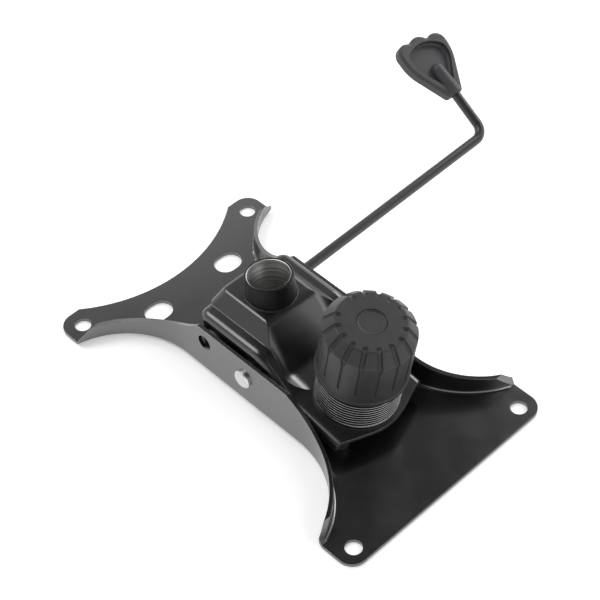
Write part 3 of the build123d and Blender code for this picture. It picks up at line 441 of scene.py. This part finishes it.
def threaded_collar():
    """The collar with its fine outer thread, a helical ridge by formula."""
    place = axis_frame(KNOB_X, TONGUE_Z, KNOB_LEAN)
    step = THREAD_PITCH / THREAD_STEPS
    rows = int(round((THREAD_HIGH - THREAD_LOW) / step)) + 1
    plain_r = COLLAR_R - COLLAR_PLAIN
    # Points of the section as (height, radius, whether the thread is cut there)
    profile = [(0.0, COLLAR_R - COLLAR_EDGE, False), (COLLAR_EDGE, plain_r, False)]
    profile += [(THREAD_LOW + i * step, COLLAR_R, True) for i in range(rows)]
    profile += [
        (COLLAR_STEP - COLLAR_LIP, plain_r, False),
        (COLLAR_STEP, COLLAR_R - COLLAR_EDGE, False),
        (COLLAR_STEP, COLLAR_NECK_R, False),
        (COLLAR_H - COLLAR_EDGE, COLLAR_NECK_R, False),
        (COLLAR_H, COLLAR_NECK_R - COLLAR_EDGE, False),
        (COLLAR_H, COLLAR_BORE_R, False),
        (COLLAR_FLOOR, COLLAR_BORE_R, False),
        (COLLAR_FLOOR, BOLT_HOLE_R, False),
        (-DRAWN, BOLT_HOLE_R, False),
        (-DRAWN, SPIGOT_R, False),
        (0.0, SPIGOT_R, False),
    ]
    points = []
    for height, radius, thread in profile:
        run_in = (height - THREAD_LOW) / THREAD_FADE
        run_out = (THREAD_HIGH - height) / THREAD_FADE
        depth = THREAD_DEPTH * max(0.0, min(1.0, run_in, run_out)) if thread else 0.0
        for j in range(THREAD_AROUND):
            turn = j / THREAD_AROUND
            phase = ((height - THREAD_LOW) / THREAD_PITCH - turn) % 1.0
            flank = (abs(2 * phase - 1) - FLANK_START) / FLANK_WIDTH
            cut = depth * min(1.0, max(0.0, flank))
            points.append(place(radius - cut, 2 * math.pi * j / THREAD_AROUND, height))
    faces = closed_faces(len(profile), THREAD_AROUND)
    obj = mesh_object("collar_threaded", points, faces, thread_black, "housing", THREAD_SHARP)
    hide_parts("spring_collar")


def weld_bead():
    """Uneven weld round the foot of the socket."""
    # The ring's centre is where the socket's axis passes through the island's flat top
    drop = (MOUTH_Z - ISLAND_TOP) / math.cos(SOCKET_LEAN)
    centre_x = MOUTH_X + drop * math.sin(SOCKET_LEAN)
    points = []
    for i in range(WELD_AROUND):
        angle = 2 * math.pi * i / WELD_AROUND
        wave = sum(height * math.sin(count * angle + phase) for height, count, phase in WELD_WAVES)
        size = WELD_SIZE + WELD_SWAY * wave
        ring_x = centre_x + (WELD_R / math.cos(SOCKET_LEAN)) * math.cos(angle)
        ring_y = WELD_R * math.sin(angle)
        for j in range(WELD_SECTION):
            turn = 2 * math.pi * j / WELD_SECTION
            out = size * math.cos(turn)
            x = ring_x + out * math.cos(angle)
            y = ring_y + out * math.sin(angle)
            z = ISLAND_TOP + size * math.sin(turn)
            points.append((x * MM, y * MM, z * MM))
    faces = closed_faces(WELD_AROUND, WELD_SECTION, flipped=True)
    obj = mesh_object("socket_weld", points, faces, weld_black, "housing", WELD_SHARP)


def giving_spring():
    """The tension spring: a copy of the CAD spring's mesh on the housing's body, shown in place of the CAD
    node.
    """
    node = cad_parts["tension_spring"]
    place = axis_frame(KNOB_X, TONGUE_Z, KNOB_LEAN)
    coil = add_object("spring_coil", node.data.copy())
    coil.matrix_world = node.matrix_world.copy()
    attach(coil, "housing")
    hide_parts("tension_spring")
    foot, top = Vector(place(0.0, 0.0, COLLAR_FLOOR)), Vector(place(0.0, 0.0, SPRING_TOP))
    tuple(foot)
    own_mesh(coil)


threaded_collar()
weld_bead()
giving_spring()


# Camera, as the photo was taken: angles, then distance and target in mm, focal length in pixels

AZ, EL, ROLL = math.radians(46.11), math.radians(47.83), math.radians(-0.96)
DIST, TARGET, FOCUS = 1192.36, Vector((-40.42, 43.33, 0.0)), 1776.5
PHOTO_WIDTH, SENSOR_WIDTH = 600.0, 36.0

camera_data = bpy.data.cameras.new("camera")
camera = add_object("camera", camera_data)
back = Vector((math.sin(AZ) * math.cos(EL), -math.cos(AZ) * math.cos(EL), math.sin(EL)))
right = Vector((math.cos(AZ), math.sin(AZ), 0.0))
up = back.cross(right)
cam_x = right * math.cos(ROLL) + up * math.sin(ROLL)
cam_y = up * math.cos(ROLL) - right * math.sin(ROLL)
spot = (TARGET + back * DIST) * MM
rows = [(cam_x[k], cam_y[k], back[k], spot[k]) for k in range(3)]
camera.matrix_world = Matrix((*rows, (0.0, 0.0, 0.0, 1.0)))
camera_data.sensor_width = SENSOR_WIDTH
camera_data.lens = FOCUS / PHOTO_WIDTH * SENSOR_WIDTH
camera_data.clip_start = 0.01
camera_data.clip_end = 50.0
camera_data.dof.use_dof = False
bpy.context.scene.camera = camera


# Floor, world and lights

FLOOR_HALF, FLOOR_Z, FLOOR_TONE = 6, -0.0002, 0.96
# Glow of the floor near the object and far from it, and where it changes, in metres
GLOW_NEAR, GLOW_FAR, GLOW_START, GLOW_END = 0.3, 0.8, 0.6, 1.8
AMBIENT = 0.35
# Walls and ceiling of the world, and the heights of the view between which they change
WALL_LIGHT, CEILING_LIGHT, WALL_TOP, CEILING_EDGE = 1.0, 0.05, 0.25, 0.72

corners = ((-1, -1), (1, -1), (1, 1), (-1, 1))
floor_mesh = bpy.data.meshes.new("floor")
floor_mesh.from_pydata([(x * FLOOR_HALF, y * FLOOR_HALF, FLOOR_Z) for x, y in corners], [], [(0, 1, 2, 3)])
floor = add_object("floor", floor_mesh)
floor_mat, floor_tree, floor_bsdf, floor_coords = new_material("floor_white")
# The bright sweep that the camera and the paint see in the floor, with the shadows kept
reach = operate(floor_tree, "ShaderNodeVectorMath", "LENGTH", (floor_coords,))["Value"]
glow = follow(floor_tree, reach, GLOW_NEAR, GLOW_FAR, GLOW_START, GLOW_END)
floor_values = {
    "Base Color": (*grey(FLOOR_TONE), 1.0),
    "Roughness": 0.9,
    "Specular IOR Level": 0.1,
    "Emission Color": WHITE,
    "Emission Strength": math_node(floor_tree, "MULTIPLY", seen_rays(floor_tree), glow),
}
feed_all(floor_tree, floor_bsdf, floor_values)
floor_mesh.materials.append(floor_mat)

world = bpy.data.worlds.new("world")
bpy.context.scene.world = world
world.use_nodes = True
sky = world.node_tree
sky.nodes.clear()
# White walls all round the object under a darker ceiling
parts = sky.nodes.new("ShaderNodeSeparateXYZ")
sky.links.new(sky.nodes.new("ShaderNodeTexCoord").outputs["Generated"], parts.inputs["Vector"])
walls = follow(sky, parts.outputs["Z"], WALL_LIGHT, CEILING_LIGHT, WALL_TOP, CEILING_EDGE, eased=True)
choose = sky.nodes.new("ShaderNodeMixShader")
sky.links.new(seen_rays(sky), choose.inputs["Fac"])
for socket, strength in ((choose.inputs[1], AMBIENT), (choose.inputs[2], walls)):
    background = sky.nodes.new("ShaderNodeBackground")
    feed_all(sky, background, {"Color": WHITE, "Strength": strength})
    sky.links.new(background.outputs["Background"], socket)
sky_out = sky.nodes.new("ShaderNodeOutputWorld")
sky.links.new(choose.outputs["Shader"], sky_out.inputs["Surface"])


def soft_light(name, place, aim, size, power):
    data = bpy.data.lights.new(name, "AREA")
    data.shape = "RECTANGLE"
    data.size, data.size_y = size
    data.energy = power
    lamp = add_object(name, data)
    lamp.location = place
    direction = Vector(aim) - Vector(place)
    lamp.rotation_euler = direction.to_track_quat("-Z", "Y").to_euler()


soft_light("key_left", (-1.0, -0.44, 1.78), (0.0, 0.0, 0.0), (1.3, 1.1), 20.0)
soft_light("glow_left", (-1.55, 0.95, 1.3), (-0.1, 0.0, 0.0), (0.8, 0.8), 1.6)
soft_light("back", (-0.2, 1.7, 1.1), (0.0, 0.05, 0.02), (1.4, 0.8), 22.0)
soft_light("fill_right", (1.6, 0.3, 1.1), (0.0, 0.0, 0.02), (1.0, 1.0), 8.0)

bpy.context.scene.view_settings.view_transform = "Standard"
